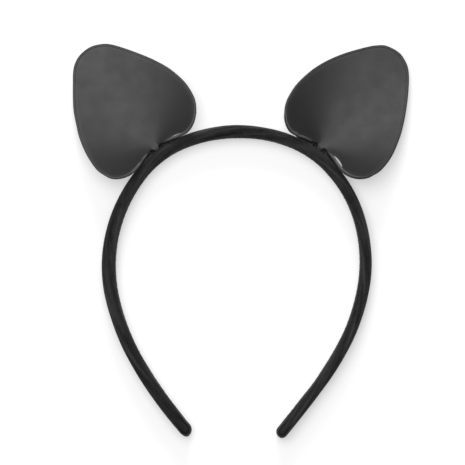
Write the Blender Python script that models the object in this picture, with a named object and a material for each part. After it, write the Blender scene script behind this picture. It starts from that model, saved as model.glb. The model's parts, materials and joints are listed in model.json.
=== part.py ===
# Animal ears headband: a padded, fabric-covered spring band lying flat, with two cupped leather ears.
# Metres, +Z up. The band's plane is XY, +Y runs from the open ends to the crown, and z = 0 is the
# surface that the band lies on. Every length below is in millimetres until MM turns it into metres.

from math import atan2, cos, hypot, pi, radians, sin

import bmesh
import bpy
from mathutils import Matrix, Vector

MM = 0.001
GAP = 0.3                      # clearance between touching pieces

# ---- band: centre line from the left tip round to the right tip, as tangent arcs (radius, sweep) ----
BAND_ARCS = (
    (202.5, 10.7), (112.7, 17.3), (68.7, 26.7), (72.5, 23.7),      # left arm, upwards
    (51.7, 32.1), (70.3, 37.5), (54.4, 36.9),                      # left ear, crown, right ear
    (63.6, 23.4), (73.0, 23.5), (95.2, 18.1), (160.5, 8.6), (620.9, 2.3),      # right arm, downwards
)
BAND_START = (-26.8, -89.6)     # centre of the left tip; puts the origin under the middle of the whole part
BAND_HEADING = -41.1           # degrees from +Y towards +X, at the left tip
BAND_DEPTH = 9.0               # along Z, the width of the band on the head
BAND_THICK = 5.9               # across the band, in its plane, at the crown
LEFT_TIP_SWELL = 1.09          # the band is a little thicker towards the left tip
RIGHT_TIP_SWELL = 0.96         # and a little slimmer towards the right one

CORE_THICK = 1.6
CORE_DEPTH = 5.6
PADDING_THICK = 4.1
PADDING_DEPTH = 7.2
COVER_WALL = 0.6

LEFT_FLEX_AT = 117.0           # along the centre line, where each arm springs open
RIGHT_FLEX_AT = 261.5
FLEX_SLOT = 1.6                # free length that lets an arm swing without touching the crown
TIP_OVERRUN = 3.1              # how far the rounded tip passes the end of the centre line
COVER_END = 1.3                # the cover stops this far short of the end, inside the tip cap

# ---- ears: each in its own frame, X along the band's tangent away from the middle, Y out from the band ----
NECK_AT = {"left": 148.6, "right": 227.0}
NECK_OUT = 4.35                # hinge line, from the band's centre line
# outline points, tip first, down the outer side, round the base past the neck and up the inner side
EAR_OUTLINE = {
    "left": ((0.0, 58.5), (8.0, 55.8), (13.6, 49.6), (21.3, 38.3), (26.8, 26.0), (29.1, 9.2),
             (25.2, 0.8), (16.8, -3.0), (7.4, -0.8), (0.0, 0.3), (-7.4, -0.8), (-16.6, -2.6),
             (-24.3, 1.7), (-28.8, 9.4), (-28.0, 26.0), (-22.1, 38.8), (-14.2, 50.5), (-8.1, 56.2)),
    "right": ((0.0, 59.0), (8.4, 57.5), (14.8, 51.6), (22.3, 38.9), (27.8, 26.0), (29.7, 8.9),
              (25.7, 0.3), (17.2, -3.2), (7.4, -0.8), (0.0, 0.3), (-7.3, -0.8), (-16.2, -2.1),
              (-23.5, 2.5), (-26.8, 10.5), (-25.8, 26.0), (-20.9, 38.1), (-13.3, 49.1), (-7.8, 55.2)),
}
EAR_CENTRE = 26.0              # middle of the ear, out from the neck
EAR_TUCK = {"left": 0.7, "right": 0.35}      # how far the ear's base laps over its hinge line
CUP_RISE = 0.54                # how steeply the side lobes climb away from the neck
CUP_FROM = 6.0                 # the cup is flat within this angle of the ear's axis
CUP_TO = 105.0                 # and fully risen beyond this one
TIP_DROP = 1.2                 # the tip leans back by this much

LEATHER_THICK = 0.7
STIFFENER_THICK = 0.5
SHEET_RINGS = 6
SHEET_SPOKES = 36
HEM_WIDTH = 1.6
HEM_HEIGHT = 2.5
NECK_WIDTH = 4.0
NECK_DEPTH = 2.6
NECK_REACH = 1.15              # from the hinge line to just short of the panels
NECK_SHOULDER = 0.75           # where it has grown to its full depth
FOOT_THICK = 0.4
FOOT_HEIGHT = 6.0


def clear_scene():
    for old in list(bpy.data.objects):
        bpy.data.objects.remove(old, do_unlink=True)


def make_material(name, colour, roughness):
    material = bpy.data.materials.new(name)
    material.use_nodes = True
    shader = material.node_tree.nodes["Principled BSDF"]
    shader.inputs["Base Color"].default_value = (*colour, 1.0)
    shader.inputs["Roughness"].default_value = roughness
    shader.inputs["Metallic"].default_value = 0.0
    return material


def make_object(name, bm, material, joint_axis):
    # the object's origin goes on its joint's axis, and the mesh is shifted back to stay in place
    bmesh.ops.recalc_face_normals(bm, faces=bm.faces)
    bmesh.ops.scale(bm, vec=(MM, MM, MM), verts=bm.verts)
    origin = Vector(joint_axis) * MM
    bmesh.ops.translate(bm, vec=-origin, verts=bm.verts)
    mesh = bpy.data.meshes.new(name)
    bm.to_mesh(mesh)
    bm.free()
    mesh.materials.append(material)
    mesh.shade_smooth()
    mesh.set_sharp_from_angle(angle=radians(40))
    piece = bpy.data.objects.new(name, mesh)
    piece.location = origin
    bpy.context.scene.collection.objects.link(piece)
    return piece


# ---- the band's centre line ----

def band_length():
    return sum(radius * radians(sweep) for radius, sweep in BAND_ARCS)


def band_point(along):
    # the point and heading at a distance along the tangent arcs
    x, y = BAND_START
    heading = radians(BAND_HEADING)
    for number, (radius, sweep) in enumerate(BAND_ARCS):
        length = radius * radians(sweep)
        last = number == len(BAND_ARCS) - 1
        turn = (along if last else min(along, length)) / radius
        x += radius * (cos(heading) - cos(heading + turn))
        y += radius * (sin(heading + turn) - sin(heading))
        heading += turn
        along -= length
        if along <= 0.0:
            break
    return x, y, heading


def band_swell(along):
    half = band_length() / 2
    tip = LEFT_TIP_SWELL if along < half else RIGHT_TIP_SWELL
    share = min(1.0, abs(along - half) / half)
    return 1.0 + (tip - 1.0) * share


def band_frame(along, swell=1.0):
    # X points out of the band, Y up, Z along the band; the origin is on the centre line at mid depth
    x, y, heading = band_point(along)
    across = Vector((-cos(heading), sin(heading), 0.0)) * (band_swell(along) * swell)
    ahead = Vector((sin(heading), cos(heading), 0.0))
    frame = Matrix.Identity(4)
    frame.col[0][:3] = across
    frame.col[1][:3] = (0.0, 0.0, swell)
    frame.col[2][:3] = ahead
    frame.col[3][:3] = (x, y, BAND_DEPTH / 2)
    return frame


def rounded_loop(bm, width, height, corner, steps):
    # edges of a rectangle with round corners, centred in the XY plane
    verts = []
    for quarter, (side_x, side_y) in enumerate(((1, 1), (-1, 1), (-1, -1), (1, -1))):
        for step in range(steps + 1):
            angle = (quarter + step / steps) * pi / 2
            x = side_x * (width / 2 - corner) + corner * cos(angle)
            y = side_y * (height / 2 - corner) + corner * sin(angle)
            verts.append(bm.verts.new((x, y, 0.0)))
    return [bm.edges.new((verts[i - 1], verts[i])) for i in range(len(verts))]


def sweep(bm, faces, frames):
    # extrudes a flat set of faces through a list of frames and closes the far end with them
    start = {v for face in faces for v in face.verts}
    bmesh.ops.transform(bm, matrix=frames[0], verts=list(start))
    for number, (before, after) in enumerate(zip(frames, frames[1:])):
        grown = bmesh.ops.extrude_face_region(bm, geom=faces)["geom"]
        if number > 0:
            bmesh.ops.delete(bm, geom=faces, context="FACES_KEEP_BOUNDARY")
        faces = [item for item in grown if isinstance(item, bmesh.types.BMFace)]
        verts = [item for item in grown if isinstance(item, bmesh.types.BMVert)]
        bmesh.ops.transform(bm, matrix=after @ before.inverted(), verts=verts)


def stations(start, end, step):
    count = max(2, round(abs(end - start) / step))
    return [start + (end - start) * i / count for i in range(count + 1)]


def band_tube(name, material, span, step, outer, inner, axis):
    bm = bmesh.new()
    edges = rounded_loop(bm, *outer) + rounded_loop(bm, *inner)
    faces = bmesh.ops.bridge_loops(bm, edges=edges)["faces"]
    sweep(bm, faces, [band_frame(s) for s in stations(*span, step)])
    make_object(name, bm, material, axis)


def band_bar(name, material, span, step, section, axis):
    bm = bmesh.new()
    edges = rounded_loop(bm, *section)
    faces = bmesh.ops.contextual_create(bm, geom=edges)["faces"]
    sweep(bm, faces, [band_frame(s) for s in stations(*span, step)])
    make_object(name, bm, material, axis)


def band_section(name, span, step, axis, looks):
    # one stretch of the band: spring core, padding sleeve round it, fabric sleeve round both
    band_bar(name + "_core", looks["plastic"], span, step, (CORE_THICK, CORE_DEPTH, 0.3, 1), axis)
    bore = (CORE_THICK + 2 * GAP, CORE_DEPTH + 2 * GAP, 0.4, 1)
    band_tube(name + "_padding", looks["foam"], span, step, (PADDING_THICK, PADDING_DEPTH, 1.1, 1), bore, axis)
    outer = (BAND_THICK, BAND_DEPTH, 1.9, 2)
    inner = (BAND_THICK - 2 * COVER_WALL, BAND_DEPTH - 2 * COVER_WALL, 1.4, 2)
    band_tube(name + "_cover", looks["fabric"], span, step, outer, inner, axis)


def tip_cap(name, material, end, direction, axis):
    # the fabric folded over the open end: a short plug that rounds off past the centre line's end
    bm = bmesh.new()
    edges = rounded_loop(bm, BAND_THICK, BAND_DEPTH, 1.9, 2)
    faces = bmesh.ops.contextual_create(bm, geom=edges)["faces"]
    reach = COVER_END - GAP
    rounding = ((-reach, 1.0), (0.3, 1.0), (1.4, 0.93), (2.3, 0.78), (2.85, 0.58), (TIP_OVERRUN, 0.32))
    frames = [band_frame(end + direction * out, shrink) for out, shrink in rounding]
    sweep(bm, faces, frames)
    make_object(name, bm, material, axis)


# ---- the ears ----

def ear_frame(side):
    # X away from the middle along the band, Y out from the band, Z up, origin on the hinge line
    x, y, heading = band_point(NECK_AT[side])
    outward = Vector((-cos(heading), sin(heading), 0.0))
    away = Vector((sin(heading), cos(heading), 0.0)) * (-1 if side == "left" else 1)
    frame = Matrix.Identity(4)
    frame.col[0][:3] = away
    frame.col[1][:3] = outward
    frame.col[3][:3] = Vector((x, y, BAND_DEPTH / 2)) + outward * NECK_OUT
    return frame


def ear_outline(side, share):
    # a smooth closed curve through the outline points; share runs from 0 to 1, clockwise from the tip
    points = EAR_OUTLINE[side]
    place = (share % 1.0) * len(points)
    first = int(place)
    t = place - first
    p = [Vector(points[(first + k - 1) % len(points)]) for k in range(4)]
    line = p[2] - p[0]
    bend = 2 * p[0] - 5 * p[1] + 4 * p[2] - p[3]
    twist = 3 * p[1] - p[0] - 3 * p[2] + p[3]
    on_curve = p[1] + (line * t + bend * t * t + twist * t * t * t) / 2
    return on_curve - Vector((0.0, EAR_TUCK[side]))


def inset_outline(side, share, inset):
    step = 0.004
    along = (ear_outline(side, share + step) - ear_outline(side, share - step)).normalized()
    inward = Vector((along.y, -along.x))
    return ear_outline(side, share) + inward * inset


def cup_height(x, y):
    # a shallow cone pinched at the neck: flat along the axis, its side lobes curling up more and more
    angle = atan2(abs(x), y) * 180 / pi
    share = min(1.0, max(0.0, (angle - CUP_FROM) / (CUP_TO - CUP_FROM)))
    lobe = hypot(x, y) * CUP_RISE * share * share
    lean = -TIP_DROP * max(0.0, y / EAR_CENTRE / 2) ** 2
    return lobe + lean


def cup_slope(x, y):
    # how much thicker a sheet measures along Z where the cup is steep
    step = 0.5
    rise_x = (cup_height(x + step, y) - cup_height(x - step, y)) / (2 * step)
    rise_y = (cup_height(x, y + step) - cup_height(x, y - step)) / (2 * step)
    return hypot(1.0, hypot(rise_x, rise_y))


def ear_sheet(name, side, material, rings, low, high, axis):
    # a cupped sheet between two heights above the cup's middle surface; every sheet of an ear shares
    # the same rings and spokes, and a smaller one leaves the outer rings off
    bm = bmesh.new()
    bmesh.ops.create_circle(bm, cap_ends=True, segments=SHEET_SPOKES, radius=rings / SHEET_RINGS)
    for ring in range(rings, 1, -1):
        bm.faces.ensure_lookup_table()
        middle = max(bm.faces, key=lambda face: len(face.verts))
        grown = bmesh.ops.extrude_face_region(bm, geom=[middle])["geom"]
        verts = [item for item in grown if isinstance(item, bmesh.types.BMVert)]
        bmesh.ops.scale(bm, vec=Vector((1, 1, 1)) * ((ring - 1) / ring), verts=verts)
        bmesh.ops.delete(bm, geom=[middle], context="FACES_KEEP_BOUNDARY")
    centre = Vector((0.0, EAR_CENTRE))
    for v in bm.verts:
        reach = hypot(v.co.x, v.co.y)
        share = atan2(v.co.x, v.co.y) / (2 * pi)
        flat = centre + (inset_outline(side, share, HEM_WIDTH + GAP) - centre) * reach
        v.co = (flat.x, flat.y, cup_height(flat.x, flat.y) + low * cup_slope(flat.x, flat.y))
    grown = bmesh.ops.extrude_face_region(bm, geom=list(bm.faces))["geom"]
    for v in [item for item in grown if isinstance(item, bmesh.types.BMVert)]:
        v.co.z += (high - low) * cup_slope(v.co.x, v.co.y)
    bmesh.ops.transform(bm, matrix=ear_frame(side), verts=bm.verts)
    make_object(name, bm, material, axis)


def ear_hem(name, side, material, axis):
    # the turned edge: an oval roll round the outline, open at the neck
    bm = bmesh.new()
    edges = bmesh.ops.create_circle(bm, cap_ends=False, segments=8, radius=0.5)["verts"]
    faces = bmesh.ops.contextual_create(bm, geom=edges)["faces"]
    neck = 0.5
    opening = 0.026
    count = 44
    base = ear_frame(side)
    frames = []
    for i in range(count + 1):
        share = neck + opening + (1 - 2 * opening) * i / count
        spot = inset_outline(side, share, HEM_WIDTH / 2)
        out = (inset_outline(side, share, 0.0) - spot).normalized()
        place = Matrix.Identity(4)
        place.col[0][:3] = Vector((out.x, out.y, 0.0)) * HEM_WIDTH
        place.col[1][:3] = (0.0, 0.0, HEM_HEIGHT)
        place.col[2][:3] = (out.y, -out.x, 0.0)
        place.col[3][:3] = (spot.x, spot.y, cup_height(spot.x, spot.y))
        frames.append(base @ place)
    sweep(bm, faces, frames)
    make_object(name, bm, material, axis)


def ear_neck(name, side, material, axis):
    # the gathered base: a tongue between the hem's ends that narrows to a round line on the hinge
    bm = bmesh.new()
    line = 0.4
    profile = [(line * cos(a), line * sin(a)) for a in (pi, 1.25 * pi, 1.5 * pi, 1.75 * pi, 2 * pi)]
    deep = NECK_DEPTH / 2
    profile += [(deep, NECK_SHOULDER), (deep, NECK_REACH), (-deep, NECK_REACH), (-deep, NECK_SHOULDER)]
    verts = [bm.verts.new((-NECK_WIDTH / 2, y, z)) for z, y in profile]
    face = bm.faces.new(verts)
    grown = bmesh.ops.extrude_face_region(bm, geom=[face])["geom"]
    moved = [item for item in grown if isinstance(item, bmesh.types.BMVert)]
    bmesh.ops.translate(bm, vec=(NECK_WIDTH, 0, 0), verts=moved)
    bmesh.ops.transform(bm, matrix=ear_frame(side), verts=bm.verts)
    make_object(name, bm, material, axis)


def ear_foot(name, side, material):
    # the leather foot glued on the band's outer face, under the neck
    bm = bmesh.new()
    bmesh.ops.create_cube(bm, size=1.0)
    bmesh.ops.scale(bm, vec=(NECK_WIDTH, FOOT_THICK, FOOT_HEIGHT), verts=bm.verts)
    face_at = BAND_THICK / 2 * band_swell(NECK_AT[side]) - NECK_OUT
    bmesh.ops.translate(bm, vec=(0.0, face_at + GAP + FOOT_THICK / 2, 0.0), verts=bm.verts)
    bmesh.ops.transform(bm, matrix=ear_frame(side), verts=bm.verts)
    make_object(name, bm, material, (0.0, 0.0, 0.0))


def build_ear(side, looks):
    axis = ear_frame(side).translation
    inner = STIFFENER_THICK / 2
    near = inner + GAP
    far = near + LEATHER_THICK
    leather = looks["leather"]
    ear_sheet(side + "_ear_front_panel", side, leather, SHEET_RINGS, near, far, axis)
    ear_sheet(side + "_ear_stiffener", side, looks["board"], SHEET_RINGS - 1, -inner, inner, axis)
    ear_sheet(side + "_ear_back_panel", side, leather, SHEET_RINGS, -far, -near, axis)
    ear_hem(side + "_ear_hem", side, leather, axis)
    ear_neck(side + "_ear_neck", side, leather, axis)
    ear_foot(side + "_ear_foot", side, leather)


def build_band(looks):
    left_x, left_y, _ = band_point(LEFT_FLEX_AT)
    right_x, right_y, _ = band_point(RIGHT_FLEX_AT)
    left_axis = (left_x, left_y, 0.0)
    right_axis = (right_x, right_y, 0.0)
    half = FLEX_SLOT / 2
    end = band_length()
    band_section("crown", (LEFT_FLEX_AT + half, RIGHT_FLEX_AT - half), 5.0, (0.0, 0.0, 0.0), looks)
    band_section("left_arm", (COVER_END, LEFT_FLEX_AT - half), 7.2, left_axis, looks)
    band_section("right_arm", (end - COVER_END, RIGHT_FLEX_AT + half), 7.2, right_axis, looks)
    tip_cap("left_tip_cap", looks["fabric"], 0.0, -1.0, left_axis)
    tip_cap("right_tip_cap", looks["fabric"], end, 1.0, right_axis)


def main():
    clear_scene()
    looks = {
        "fabric": make_material("band_fabric", (0.014, 0.014, 0.015), 0.85),
        "foam": make_material("band_foam", (0.05, 0.05, 0.05), 0.95),
        "plastic": make_material("core_plastic", (0.02, 0.02, 0.02), 0.45),
        "leather": make_material("ear_leather", (0.03, 0.03, 0.031), 0.5),
        "board": make_material("ear_board", (0.09, 0.085, 0.08), 0.8),
    }
    build_band(looks)
    for side in ("left", "right"):
        build_ear(side, looks)


main()
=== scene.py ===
import json
from math import atan2, copysign, cos, exp, hypot, pi, radians, sin, sqrt

import bmesh
import bpy
from mathutils import Matrix, Vector, noise
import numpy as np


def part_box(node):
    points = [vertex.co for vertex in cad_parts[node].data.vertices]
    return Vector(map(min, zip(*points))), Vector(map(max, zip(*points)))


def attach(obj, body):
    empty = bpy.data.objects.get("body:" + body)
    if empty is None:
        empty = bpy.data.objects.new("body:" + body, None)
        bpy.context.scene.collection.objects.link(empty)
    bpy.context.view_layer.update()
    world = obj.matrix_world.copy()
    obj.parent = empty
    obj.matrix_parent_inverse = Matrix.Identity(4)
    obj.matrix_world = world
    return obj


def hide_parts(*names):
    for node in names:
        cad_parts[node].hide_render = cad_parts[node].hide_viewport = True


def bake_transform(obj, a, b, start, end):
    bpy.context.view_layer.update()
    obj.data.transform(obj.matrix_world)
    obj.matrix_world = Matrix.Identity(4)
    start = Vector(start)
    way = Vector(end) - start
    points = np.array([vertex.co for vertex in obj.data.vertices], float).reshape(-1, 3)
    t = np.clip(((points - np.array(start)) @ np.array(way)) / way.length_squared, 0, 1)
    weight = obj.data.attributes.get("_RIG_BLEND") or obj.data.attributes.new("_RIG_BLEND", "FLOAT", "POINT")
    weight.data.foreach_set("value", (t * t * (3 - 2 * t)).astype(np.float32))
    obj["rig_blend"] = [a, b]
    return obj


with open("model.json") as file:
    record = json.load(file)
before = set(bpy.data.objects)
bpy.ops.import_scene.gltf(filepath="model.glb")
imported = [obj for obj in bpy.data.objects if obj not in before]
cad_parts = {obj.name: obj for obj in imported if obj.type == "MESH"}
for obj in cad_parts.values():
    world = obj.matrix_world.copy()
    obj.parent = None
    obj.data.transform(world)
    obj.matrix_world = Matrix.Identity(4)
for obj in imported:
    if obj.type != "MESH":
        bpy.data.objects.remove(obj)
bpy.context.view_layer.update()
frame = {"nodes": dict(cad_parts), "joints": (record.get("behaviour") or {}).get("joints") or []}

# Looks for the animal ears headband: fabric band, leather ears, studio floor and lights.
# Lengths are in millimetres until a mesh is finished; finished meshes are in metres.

nodes = frame["nodes"]
mm = 0.001

# the band's line and section

band = {
    # tangent arcs from the left end to the right one: radius and sweep in degrees
    "arcs": ((202.5, 10.7), (112.7, 17.3), (68.7, 26.7), (72.5, 23.7), (51.7, 32.1), (70.3, 37.5),
             (54.4, 36.9), (63.6, 23.4), (73.0, 23.5), (95.2, 18.1), (160.5, 8.6), (620.9, 2.3)),
    "start": (-26.8, -89.6),      # centre of the left end
    "heading": -41.1,             # degrees from +Y towards +X, at the left end
    "depth": 9.0,                 # along Z
    "thick": 5.9,                 # across, at the crown
    "leftSwell": 1.09,            # thicker towards the left end
    "rightSwell": 0.96,           # slimmer towards the right end
    # where the padding is plumper or slimmer: middle, half length, extra width
    "plump": ((3.0, 7.0, -0.45), (88.0, 22.0, 0.45), (146.0, 16.0, -0.28), (186.0, 12.0, 0.25),
              (226.0, 18.0, -0.2), (264.0, 14.0, -0.22), (285.0, 14.0, -0.12), (352.0, 8.0, -0.25)),
    "corner": 2.3,                # rounding of the padded section
    "overrun": {"left": 4.2, "right": 3.1},      # the rounded ends pass the line's ends by this much
    "wall": 0.6,
    "flexAt": {"left": 117.0, "right": 261.5},
    "bendReach": 18.0,            # half the length that bends with an arm
}


def bell(value, centre, width):
    return exp(-((value - centre) / width) ** 2)


def smoothStep(value, steepness):
    # rises from 0 to 1 round zero
    return 1 / (1 + exp(-value * steepness))


def within(value):
    return min(1.0, max(0.0, value))


def bandLength():
    return sum(radius * radians(sweep) for radius, sweep in band["arcs"])


def bandPoint(along):
    x, y = band["start"]
    heading = radians(band["heading"])
    for number, (radius, sweep) in enumerate(band["arcs"]):
        length = radius * radians(sweep)
        last = number == len(band["arcs"]) - 1
        turn = (along if last else min(along, length)) / radius
        x += radius * (cos(heading) - cos(heading + turn))
        y += radius * (sin(heading + turn) - sin(heading))
        heading += turn
        along -= length
        if along <= 0.0:
            break
    return x, y, heading


def bandSwell(along):
    half = bandLength() / 2
    end = band["leftSwell"] if along < half else band["rightSwell"]
    return 1.0 + (end - 1.0) * min(1.0, abs(along - half) / half)


def bandWidth(along):
    extra = sum(more * bell(along, middle, reach) for middle, reach, more in band["plump"])
    return band["thick"] * bandSwell(along) + extra


def bandFrame(along):
    # X out of the band, Y up, Z along it, on the centre line at mid depth
    x, y, heading = bandPoint(along)
    place = Matrix.Identity(4)
    place.col[0][:3] = (-cos(heading), sin(heading), 0.0)
    place.col[1][:3] = (0.0, 0.0, 1.0)
    place.col[2][:3] = (sin(heading), cos(heading), 0.0)
    place.col[3][:3] = (x, y, band["depth"] / 2)
    return place


def roundedPoint(share, width, height, corner):
    # a place on a rounded rectangle, and which way it faces; share 0 is the middle of the -X side
    flatX = width / 2 - corner
    flatY = height / 2 - corner
    arc = corner * pi / 2
    lengths = (flatY, arc, 2 * flatX, arc, 2 * flatY, arc, 2 * flatX, arc, flatY)
    left = (share % 1.0) * sum(lengths)
    for leg, length in enumerate(lengths):
        if left <= length:
            break
        left -= length
    quarter = (leg - 1) // 2
    if leg in (0, 8):
        return Vector((-width / 2, -left if leg == 0 else flatY - left)), Vector((-1.0, 0.0))
    if leg % 2:
        angle = pi + quarter * pi / 2 + left / corner
        centre = Vector(((-flatX, flatX, flatX, -flatX)[quarter], (-flatY, -flatY, flatY, flatY)[quarter]))
        facing = Vector((cos(angle), sin(angle)))
        return centre + facing * corner, facing
    if leg == 2:
        return Vector((-flatX + left, -height / 2)), Vector((0.0, -1.0))
    if leg == 4:
        return Vector((width / 2, -flatY + left)), Vector((1.0, 0.0))
    return Vector((flatX - left, height / 2)), Vector((0.0, 1.0))


def ringPerimeter(width, height, corner):
    return 2 * (width + height - 4 * corner) + 2 * pi * corner


# helpers for meshes

def onlyVerts(geom):
    return [item for item in geom if isinstance(item, bmesh.types.BMVert)]


def onlyEdges(geom):
    return [item for item in geom if isinstance(item, bmesh.types.BMEdge)]


def growTube(bm, segments, stations, place):
    # a circle extruded ring by ring; place(station, share) says where each of its points goes
    shareOf = bm.verts.layers.float.new("share")
    alongOf = bm.verts.layers.float.new("along")
    ring = bmesh.ops.create_circle(bm, cap_ends=False, segments=segments, radius=1.0)["verts"]
    for v in ring:
        v[shareOf] = round(atan2(v.co.y, v.co.x) / (2 * pi) * segments) % segments / segments
    first = last = list(bm.edges)
    for number, station in enumerate(stations):
        if number:
            grown = bmesh.ops.extrude_edge_only(bm, edges=last)["geom"]
            ring = onlyVerts(grown)
            last = onlyEdges(grown)
        for v in ring:
            v.co = place(station, v[shareOf])
            v[alongOf] = station
    return first, last


def closeRims(bm, *rims):
    for rim in rims:
        bmesh.ops.poke(bm, faces=bmesh.ops.edgeloop_fill(bm, edges=rim)["faces"])


def layWeave(bm, perimeter):
    # UV in millimetres: round the section and along the band, so that the weave follows the cloth
    shareOf = bm.verts.layers.float["share"]
    alongOf = bm.verts.layers.float["along"]
    uv = bm.loops.layers.uv.new("weave")
    for face in bm.faces:
        wraps = max(v[shareOf] for v in face.verts) - min(v[shareOf] for v in face.verts) > 0.5
        for loop in face.loops:
            share = loop.vert[shareOf]
            if wraps and share < 0.5:
                share += 1.0
            loop[uv].uv = (share * perimeter, loop.vert[alongOf])


def addObject(name, data):
    made = bpy.data.objects.new(name, data)
    bpy.context.scene.collection.objects.link(made)
    return made


def finishPiece(name, bm, material, sharpAngle=50):
    bmesh.ops.recalc_face_normals(bm, faces=bm.faces)
    bmesh.ops.scale(bm, vec=(mm, mm, mm), verts=bm.verts)
    mesh = bpy.data.meshes.new(name)
    bm.to_mesh(mesh)
    bm.free()
    mesh.materials.append(material)
    mesh.shade_smooth()
    mesh.set_sharp_from_angle(angle=radians(sharpAngle))
    piece = addObject(name, mesh)
    return piece


# materials

def newMaterial(name, colour, roughness):
    material = bpy.data.materials.new(name)
    material.use_nodes = True
    shader = material.node_tree.nodes["Principled BSDF"]
    shader.inputs["Base Color"].default_value = (*colour, 1.0)
    shader.inputs["Roughness"].default_value = roughness
    return material, shader


class Graph:
    # short calls for building a material's nodes
    def __init__(self, material):
        self.tree = material.node_tree

    def node(self, kind, **settings):
        made = self.tree.nodes.new(kind)
        for key, value in settings.items():
            setattr(made, key, value)
        return made

    def link(self, source, target):
        self.tree.links.new(source, target)

    def math(self, operation, first, second=0.0):
        made = self.node("ShaderNodeMath", operation=operation)
        for socket, value in zip(made.inputs, (first, second)):
            if hasattr(value, "is_output"):
                self.link(value, socket)
            else:
                socket.default_value = value
        return made.outputs[0]

    def place(self, output, scale=(1.0, 1.0, 1.0), turn=(0.0, 0.0, 0.0)):
        coordinates = self.node("ShaderNodeTexCoord")
        mapping = self.node("ShaderNodeMapping")
        mapping.inputs["Scale"].default_value = scale
        mapping.inputs["Rotation"].default_value = turn
        self.link(coordinates.outputs[output], mapping.inputs["Vector"])
        return mapping.outputs["Vector"]

    def noise(self, where, scale, detail=3.0, roughness=0.5):
        made = self.node("ShaderNodeTexNoise")
        made.inputs["Scale"].default_value = scale
        made.inputs["Detail"].default_value = detail
        made.inputs["Roughness"].default_value = roughness
        self.link(where, made.inputs["Vector"])
        return made.outputs["Fac"]

    def cells(self, where, scale, feature="DISTANCE_TO_EDGE"):
        made = self.node("ShaderNodeTexVoronoi", feature=feature)
        made.inputs["Scale"].default_value = scale
        self.link(where, made.inputs["Vector"])
        return made.outputs["Distance"]

    def ramp(self, value, low, high, outLow, outHigh):
        made = self.node("ShaderNodeMapRange")
        for socket, number in zip(made.inputs[1:5], (low, high, outLow, outHigh)):
            socket.default_value = number
        self.link(value, made.inputs[0])
        return made.outputs[0]

    def tint(self, value, low, high):
        made = self.node("ShaderNodeValToRGB")
        made.color_ramp.elements[0].color = (*low, 1.0)
        made.color_ramp.elements[1].color = (*high, 1.0)
        self.link(value, made.inputs[0])
        return made.outputs[0]

    def attribute(self, name):
        return self.node("ShaderNodeAttribute", attribute_name=name).outputs["Fac"]

    def mix(self, share, colour, other):
        made = self.node("ShaderNodeMix", data_type="RGBA")
        self.link(share, made.inputs["Factor"])
        self.link(colour, made.inputs[6])
        made.inputs[7].default_value = (*other, 1.0)
        return made.outputs[2]

    def bump(self, height, depth, strength=1.0):
        made = self.node("ShaderNodeBump")
        made.inputs["Distance"].default_value = depth
        made.inputs["Strength"].default_value = strength
        self.link(height, made.inputs["Height"])
        return made.outputs["Normal"]


fabric = {
    "dark": (0.0065, 0.0065, 0.0068),
    "light": (0.022, 0.022, 0.0227),
    # painted shade: the colour that the creases, the grooves behind the lips and the broad hollows are
    # darkened towards
    "painted_crease_shade": (0.0015, 0.0015, 0.0016),
    # painted highlight: the colour that ridges, lips and the crown's outer side are lightened towards
    "painted_highlight": (0.045, 0.045, 0.046),
    "thread": 0.42,               # spacing of the twill threads
    "roughness": 0.8,
    "sheen": 0.06,
    "depth": 0.05,                # height of the threads
}


def bandFabric():
    material, shader = newMaterial("band_fabric_weave", fabric["light"], fabric["roughness"])
    shader.inputs["Sheen Weight"].default_value = fabric["sheen"]
    shader.inputs["Sheen Roughness"].default_value = 0.45
    shader.inputs["Specular IOR Level"].default_value = 0.16
    g = Graph(material)
    cloth = g.place("UV")
    split = g.node("ShaderNodeSeparateXYZ")
    g.link(cloth, split.inputs[0])
    turns = 2 * pi / fabric["thread"]
    slanting = g.math("ADD", split.outputs[0], split.outputs[1])
    ribs = g.math("SINE", g.math("MULTIPLY", slanting, turns))
    across = g.math("SUBTRACT", split.outputs[0], split.outputs[1])
    threads = g.math("SINE", g.math("MULTIPLY", across, turns * 2))
    weave = g.math("ADD", g.math("MULTIPLY", ribs, 0.35), g.math("MULTIPLY", threads, 0.15))
    weave = g.math("ADD", weave, 0.5)
    fuzz = g.noise(cloth, 5.0, detail=4.0, roughness=0.7)
    wear = g.noise(g.place("UV", scale=(1.1, 0.3, 1.0)), 1.0, detail=3.0)
    tone = g.math("ADD", g.math("MULTIPLY", weave, 0.45), g.math("MULTIPLY", fuzz, 0.35))
    tone = g.math("ADD", tone, g.ramp(wear, 0.3, 0.7, -0.25, 0.4))
    plain = g.tint(tone, fabric["dark"], fabric["light"])
    # painted highlight on ridges, lips and the crown's outer side, from the cover's highlight attribute
    painted_highlight = g.mix(g.attribute("painted_highlight"), plain, fabric["painted_highlight"])
    # painted shade in the creases, hollows and grooves, mixed over the cloth from the cover's crease
    # attribute
    g.link(g.mix(g.attribute("painted_crease_shade"), painted_highlight, fabric["painted_crease_shade"]), shader.inputs["Base Color"])
    rough = g.ramp(fuzz, 0.3, 0.7, fabric["roughness"] - 0.08, fabric["roughness"] + 0.1)
    g.link(rough, shader.inputs["Roughness"])
    height = g.math("ADD", weave, g.math("MULTIPLY", fuzz, 0.6))
    g.link(g.bump(height, fabric["depth"] * mm, 0.8), shader.inputs["Normal"])
    return material


leather = {
    "dark": (0.0045, 0.0045, 0.0047),
    "light": (0.011, 0.011, 0.0112),
    # paler colour: mostly painted highlight along the ears' rims and beside the necks, also a paler tone on
    # the foot and the tongue
    "paler_tone_and_painted_highlight": (0.13, 0.13, 0.13),
    "roughness": 0.46,
    "grain": 1500.0,              # cells in a metre
    "depth": 0.02,
}


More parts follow.
